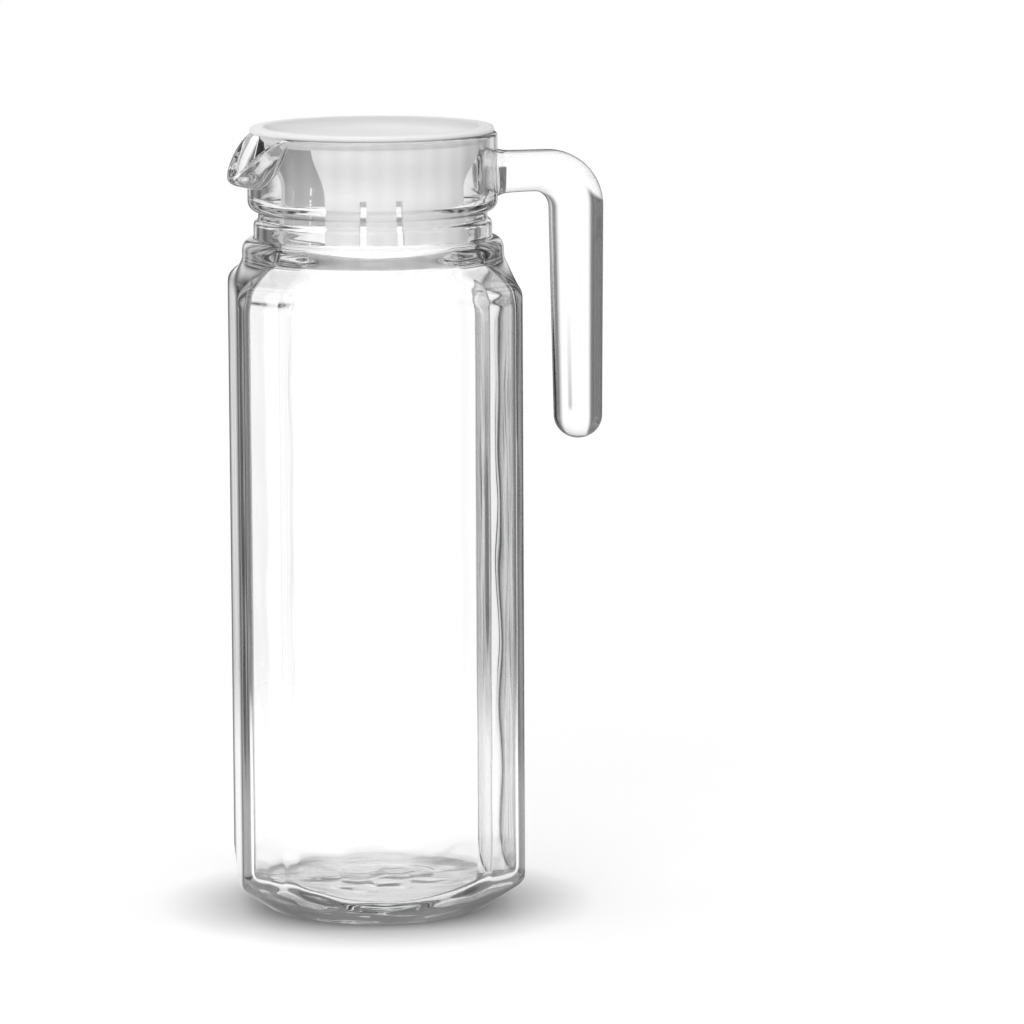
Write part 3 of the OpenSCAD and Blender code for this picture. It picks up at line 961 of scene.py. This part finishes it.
@dataclass
class Lid:
    """Plug-in plastic lid: dished top, plug ring and cut-away, slotted skirt. Sizes in millimetres."""

    plastic: PlasticFinish
    top_z: float = 235.1
    under_z: float = 233.2
    flange_r: float = 36.3
    flange_edge_r: float = 0.8
    wall_t: float = 1.3
    plug_r: float = 33.2
    plug_z: float = 231.6
    plug_step: float = 1.1
    waist_r: float = 27.1
    waist_z: float = 216.5
    skirt_end_r: float = 28.4
    skirt_z: float = 202
    turn: float = 26.5
    window_top_angle: float = 26.5
    window_end_angle: float = 31.1
    dish_r: float = 32.2
    dish_h: float = 3.6
    slot_w: float = 2
    slot_h: float = 13.2
    slot_angles: tuple[float, ...] = (53.5, 75.5)
    dish_power: float = 6
    skirt_power: float = 1.2
    end_round_h: float = 0.3
    cut_margin: float = 0.6
    slot_edge_span: float = 0.12
    slot_edge_w: float = 0.08
    line_step: float = 0.05
    top_soft: float = 0.18
    top_spacing: tuple[float, float, float] = (0.2, 1.2, 0.2)
    under_soft: float = 0.3
    under_spacing: tuple[float, float, float] = (0.25, 1.5, 0.2)
    under_gap: float = 0.2

    def columns(self) -> np.ndarray:
        """Angles of the columns in degrees, from the window's middle, closest at the cut edges."""
        angles = [np.arange(-180, 180, 2.0)]
        half = self.slot_half_angle()
        window = np.linspace(
            self.window_top_angle - self.cut_margin, self.window_end_angle + self.cut_margin, 40)
        edge_span = np.linspace(-self.slot_edge_span, self.slot_edge_span, 7)
        for side in (-1, 1):
            angles.append(side * window)
            for place in self.slot_angles:
                for edge in (-half, half):
                    angles.append(side * (place + edge + edge_span))
        return np.unique(np.round(np.concatenate(angles), 3))

    def slot_half_angle(self) -> float:
        """Half the width of a slot, as an angle in degrees."""
        return math.degrees(self.slot_w / 2 / self.skirt_end_r)

    def end_z(self, angle: np.ndarray) -> np.ndarray:
        """Height at which the skirt ends.

        Args:
            angle: Angles in degrees from the window's middle.

        Returns:
            The height at each angle in millimetres.
        """
        away = np.abs(angle)
        full = self.plug_z - self.plug_step
        share = (away - self.window_top_angle) / (self.window_end_angle - self.window_top_angle)
        end = full + (self.skirt_z - full) * np.clip(share, 0, 1)
        half = self.slot_half_angle()
        for place in self.slot_angles:
            inside = np.clip((half - np.abs(away - place)) / self.slot_edge_w + 0.5, 0, 1)
            end = end + (self.skirt_z + self.slot_h - end) * inside
        return end

    def build(self) -> bpy.types.Object:
        """Builds the lid's skin.

        Returns:
            The lid, in metres.
        """
        angle = self.columns()
        share = np.linspace(0, 1, 60)
        dish = np.column_stack([
            self.dish_r * share, self.top_z - self.dish_h * (1 - share**self.dish_power)])
        top = np.vstack([
            dish,
            arc((self.flange_r - self.flange_edge_r, self.top_z - self.flange_edge_r),
                self.flange_edge_r, 90, 0, 6),
            arc((self.flange_r - self.flange_edge_r, self.under_z + self.flange_edge_r),
                self.flange_edge_r, 0, -90, 6),
            [[self.plug_r, self.under_z], [self.plug_r, self.plug_z],
             [self.plug_r - self.plug_step, self.plug_z - self.plug_step]]])
        top = thin_out(soften(top, self.top_soft, self.line_step), *self.top_spacing)[1:]
        under = np.column_stack([dish[:, 0], dish[:, 1] - self.wall_t])[::-1]
        inner_r = self.plug_r - self.plug_step - self.wall_t
        under = under[under[:, 0] < inner_r - self.under_gap]
        under = np.vstack([[[inner_r, self.plug_z - self.plug_step]], [[inner_r, under[0, 1]]], under])
        under = thin_out(soften(under, self.under_soft, self.line_step), *self.under_spacing)[:-1]
        end = self.end_z(angle)
        start = self.plug_z - self.plug_step
        radii, heights = [], []
        middle = np.maximum(end, self.skirt_z + self.slot_h)
        down = [start + (middle - start) * step for step in np.linspace(0, 1, 27)[1:]]
        down += [middle + (end - middle) * step for step in np.linspace(0, 1, 17)[1:]]
        for height in down:
            radii.append(self.flank_r(height))
            heights.append(height)
        for a in np.radians(np.linspace(0, 180, 9)[1:-1]):
            radii.append(self.flank_r(end) - self.wall_t / 2 + self.wall_t / 2 * math.cos(a))
            heights.append(end - self.end_round_h * math.sin(a))
        for height in down[::-1]:
            radii.append(self.flank_r(height) - self.wall_t)
            heights.append(height)
        wide = np.ones_like(angle)
        radius = np.vstack([top[:, :1] * wide, np.array(radii), under[:, :1] * wide])
        height = np.vstack([top[:, 1:] * wide, np.array(heights), under[:, 1:] * wide])
        height = np.maximum(height, self.skirt_z)
        turn = np.radians(angle + 180 + self.turn)[None]
        grid = np.stack([radius * np.cos(turn), radius * np.sin(turn), height], axis=-1)
        skin = Skin()
        skin.add_grid(grid[::-1], start_pole=True, end_pole=True)
        return skin.make("lid_plastic", sharp=42)

    def flank_r(self, height: np.ndarray) -> np.ndarray:
        """Outer radius of the skirt at those heights."""
        top = self.plug_r - self.plug_step
        upper = self.waist_r + (top - self.waist_r) * ease(
            (height - self.waist_z) / (self.plug_z - self.plug_step - self.waist_z))
        share = np.clip((self.waist_z - height) / (self.waist_z - self.skirt_z), 0, 1)
        return upper + (self.skirt_end_r - self.waist_r) * share**self.skirt_power

    def dress(self, made: bpy.types.Object) -> None:
        """Gives the lid its plastic and its place in the model."""
        made.data.materials.append(self.plastic.material())
        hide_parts("lid")
        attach(made, Body.LID.value)


# Studio


@dataclass
class View:
    """Camera of the photograph. Place in metres, angles in degrees, picture 1024 by 1024."""

    distance: float = 1.74291
    azimuth: float = -4.33
    height: float = 0.3852
    pitch: float = 8.69
    yaw: float = 1.35
    roll: float = -0.26
    lens: float = 206.67
    sensor: float = 36
    clip_start: float = 0.01

    def build(self) -> None:
        """Makes the camera and sets it as the scene's."""
        azimuth, pitch, yaw, roll = (
            math.radians(angle) for angle in (self.azimuth, self.pitch, self.yaw, self.roll))
        ahead = Vector((-math.sin(azimuth), math.cos(azimuth), 0))
        beside = Vector((math.cos(azimuth), math.sin(azimuth), 0))
        level = ahead * math.cos(yaw) + beside * math.sin(yaw)
        right = beside * math.cos(yaw) - ahead * math.sin(yaw)
        up = Vector((0, 0, 1))
        sight = level * math.cos(pitch) - up * math.sin(pitch)
        above = up * math.cos(pitch) + level * math.sin(pitch)
        right_rolled = right * math.cos(roll) + above * math.sin(roll)
        above_rolled = above * math.cos(roll) - right * math.sin(roll)
        data = bpy.data.cameras.new("photo_camera")
        data.lens = self.lens
        data.sensor_width = self.sensor
        data.clip_start = self.clip_start
        made = bpy.data.objects.new("photo_camera", data)
        turned = Matrix((right_rolled, above_rolled, -sight)).transposed()
        made.matrix_world = Matrix.Translation(Vector((
            math.sin(azimuth) * self.distance, -math.cos(azimuth) * self.distance, self.height))
        ) @ turned.to_4x4()
        bpy.context.scene.collection.objects.link(made)
        bpy.context.scene.camera = made


@dataclass(frozen=True)
class Flag:
    """Dark flag on one side of the bright panel behind the jug, by shares of a sight line's length.

    It starts `start` to that side, has its full depth `width` further on, and `depth` is how dark it is.
    """

    side: int
    start: float
    width: float
    depth: float


@dataclass(frozen=True)
class Card:
    """Narrow dark card low behind the jug, by shares of a sight line's length."""

    near: float
    far: float
    soft: float
    top: float
    top_soft: float
    depth: float


@dataclass(frozen=True)
class Lamp:
    """Square area lamp that faces the jug. Place and size in metres, power in watts."""

    name: str
    place: tuple[float, float, float]
    size: float
    power: float


@dataclass
class Studio:
    """White table and tent, with a dark card and two flags behind the jug, and soft lamps.

    Sizes in metres.
    """

    table_r: float = 0.42
    table_drop: float = 0.00005
    table_rings: int = 12
    table_sides: int = 96
    table_fade_from: float = 0.6
    table_fade_w: float = 0.38
    foot_r: float = 0.033
    painted_shadow_w: float = 0.034
    painted_shadow_power: float = 0.7
    foot_lift: float = 0.85
    # painted shadow: the table's colour close round the jug's foot
    painted_foot_shadow: Colour = (0.38, 0.38, 0.38, 1)
    table_white: Colour = (0.95, 0.95, 0.95, 1)
    table_glow: float = 0.2
    through_glow: float = 0.15
    panel: float = 1.06
    card: Card = Card(near=0.24, far=0.38, soft=0.04, top=-0.115, top_soft=0.03, depth=0.85)
    flags: tuple[Flag, ...] = (Flag(-1, 0.09, 0.1, 0.84), Flag(1, 0.55, 0.2, 0.8))
    behind_soft: float = 0.1
    flag_foot: float = -0.22
    flag_foot_soft: float = 0.05
    ceiling: float = 1.0
    ceiling_from: float = -0.1
    ceiling_soft: float = 0.8
    sides: float = 0.58
    streak: float = 0.8
    streak_count: int = 19
    ambient: float = 0.76
    ambient_lean: float = 0.2
    lamps: tuple[Lamp, ...] = (
        Lamp("top_panel", (-0.35, -1.0, 0.8), 0.9, 4.2), Lamp("side_panel", (1.1, -0.7, 0.7), 0.6, 1.5))
    aim_z: float = 0.12

    def table(self) -> None:
        """Makes the pale table top, which fades out round its edge and keeps the shadow."""
        skin = Skin()
        radii = np.linspace(0.01, self.table_r, self.table_rings)[:, None] / MM
        turn = np.linspace(0, 2 * np.pi, self.table_sides, endpoint=False)
        drop = np.full((self.table_rings, self.table_sides), -self.table_drop / MM)
        skin.add_grid(np.stack([radii * np.cos(turn), radii * np.sin(turn), drop], axis=-1), start_pole=True)
        made = skin.make("table_top")
        made.data.materials.append(self.table_material())

    def table_material(self) -> bpy.types.Material:
        """Makes the table's white, with a painted shadow round the jug's foot except where glass shows it.
        """
        material, shader = new_material("table_white")
        place = shader.node("ShaderNodeTexCoord")
        length = shader.node("ShaderNodeVectorMath", {"operation": "LENGTH"}, {
            0: shader.out(place, "Object")})
        distance = shader.out(length, "Value")
        path = shader.node("ShaderNodeLightPath")
        through = shader.out(path, "Is Transmission Ray").maths("MAXIMUM", shader.out(path, "Is Glossy Ray"))
        seen = shader.out(path, "Is Camera Ray").maths("MAXIMUM", through)
        # painted shadow: colour and glow darken round the jug's foot; rays through the glass see it lifted
        # by foot_lift
        away = (distance - self.foot_r).maths("DIVIDE", self.painted_shadow_w, clamp=True)
        away = (away ** self.painted_shadow_power).maths("MAXIMUM", through * self.foot_lift)
        white = shader.mix_colour(away, self.painted_foot_shadow, self.table_white)
        diffuse = shader.out(shader.node("ShaderNodeBsdfDiffuse", inputs={"Color": white}))
        glow = shader.out(shader.node("ShaderNodeEmission", inputs={
            "Color": away * (through * self.through_glow + self.table_glow), "Strength": 1.0}))
        nothing = shader.out(shader.node("ShaderNodeEmission", inputs={"Strength": 0.0}))
        lift = shader.mix_shaders(seen, nothing, glow)
        both = shader.out(shader.node("ShaderNodeAddShader", inputs={0: diffuse, 1: lift}))
        fade = (distance - self.table_r * self.table_fade_from).maths(
            "DIVIDE", self.table_r * self.table_fade_w, clamp=True)
        mixed = shader.mix_shaders(fade, both, shader.transparent(1))
        shader.finish("ShaderNodeOutputMaterial", mixed)
        return material

    def tent(self) -> None:
        """Makes the world.

        It is white for the camera. Light through the glass meets a bright panel with a card and flags,
        mirrored light a streaked tent, and all other light a plain, slightly leaning level.
        """
        world = bpy.data.worlds.new("tent")
        world.use_nodes = True
        bpy.context.scene.world = world
        shader = Shader(world.node_tree)
        place = shader.node("ShaderNodeTexCoord")
        parts = shader.node("ShaderNodeSeparateXYZ", inputs={0: shader.out(place, "Generated")})
        x, y, z = (shader.out(parts, axis) for axis in "XYZ")
        path = shader.node("ShaderNodeLightPath")
        levels = {
            "Is Glossy Ray": self.mirrored_level(x, y, z),
            "Is Transmission Ray": self.panel_level(x, y, z),
            "Is Camera Ray": 1.0}
        mixed = self.background(shader, (1 - x * self.ambient_lean) * self.ambient)
        for flag, level in levels.items():
            mixed = shader.mix_shaders(shader.out(path, flag), mixed, self.background(shader, level))
        shader.finish("ShaderNodeOutputWorld", mixed)

    @staticmethod
    def background(shader: Shader, level: Channel | float) -> Channel:
        """Adds a white background of that strength."""
        return shader.out(shader.node("ShaderNodeBackground", inputs={
            "Color": (1, 1, 1, 1), "Strength": level}))

    def panel_level(self, x: Channel, y: Channel, z: Channel) -> Channel:
        """Brightness that light through the glass meets, by the direction's parts."""
        behind = y.maths("DIVIDE", self.behind_soft, clamp=True) * (z - self.flag_foot).maths(
            "DIVIDE", self.flag_foot_soft, clamp=True)
        card = self.card
        dark = ((x - card.near).maths("DIVIDE", card.soft, clamp=True)
                * (card.far - x).maths("DIVIDE", card.soft, clamp=True)
                * (card.top - z).maths("DIVIDE", card.top_soft, clamp=True) * card.depth)
        level = 1 - dark * behind
        for flag in self.flags:
            shade = (x * flag.side - flag.start).maths("DIVIDE", flag.width, clamp=True) * flag.depth
            level = level * (1 - shade * behind)
        return level * self.panel

    def mirrored_level(self, x: Channel, y: Channel, z: Channel) -> Channel:
        """Brightness that mirrored light meets, by the direction's parts."""
        ceiling = (z - self.ceiling_from).maths("DIVIDE", self.ceiling_soft, clamp=True)
        turn = y.maths("ARCTAN2", x) * self.streak_count - self.streak_count * math.pi / 2
        streaks = turn.maths("COSINE") * self.streak + 1
        return (ceiling * (self.ceiling - self.sides) + self.sides) * streaks

    def add_lamps(self) -> None:
        """Adds the lamps, turned to the jug's middle."""
        for lamp in self.lamps:
            data = bpy.data.lights.new(lamp.name, "AREA")
            data.shape = "SQUARE"
            data.size = lamp.size
            data.energy = lamp.power
            made = bpy.data.objects.new(lamp.name, data)
            made.location = lamp.place
            made.rotation_mode = "QUATERNION"
            away = Vector(lamp.place) - Vector((0, 0, self.aim_z))
            made.rotation_quaternion = away.to_track_quat("Z", "Y")
            bpy.context.scene.collection.objects.link(made)

    def build(self) -> None:
        """Makes the whole studio and sets plain colour."""
        self.table()
        self.tent()
        self.add_lamps()
        bpy.context.scene.view_settings.view_transform = "Standard"


def main() -> None:
    """Builds the camera, the studio and each piece in order."""
    logging.basicConfig(level=logging.INFO, format="%(name)s: %(message)s")
    View().build()
    Studio().build()
    pieces = (
        JugBody(GlassFinish("jug_clear_glass")),
        # painted shade: the handle's glass darkens more at a slant and its painted dark outline runs all
        # round
        Handle(GlassFinish("handle_clear_glass", painted_slant_power=1.7, rim_from=-1)),
        Lid(PlasticFinish("lid_white_plastic")))
    for piece in pieces:
        made = piece.build()
        piece.dress(made)
        LOG.info("%s: %d faces", made.name, len(made.data.polygons))


if __name__ == "__main__":
    main()
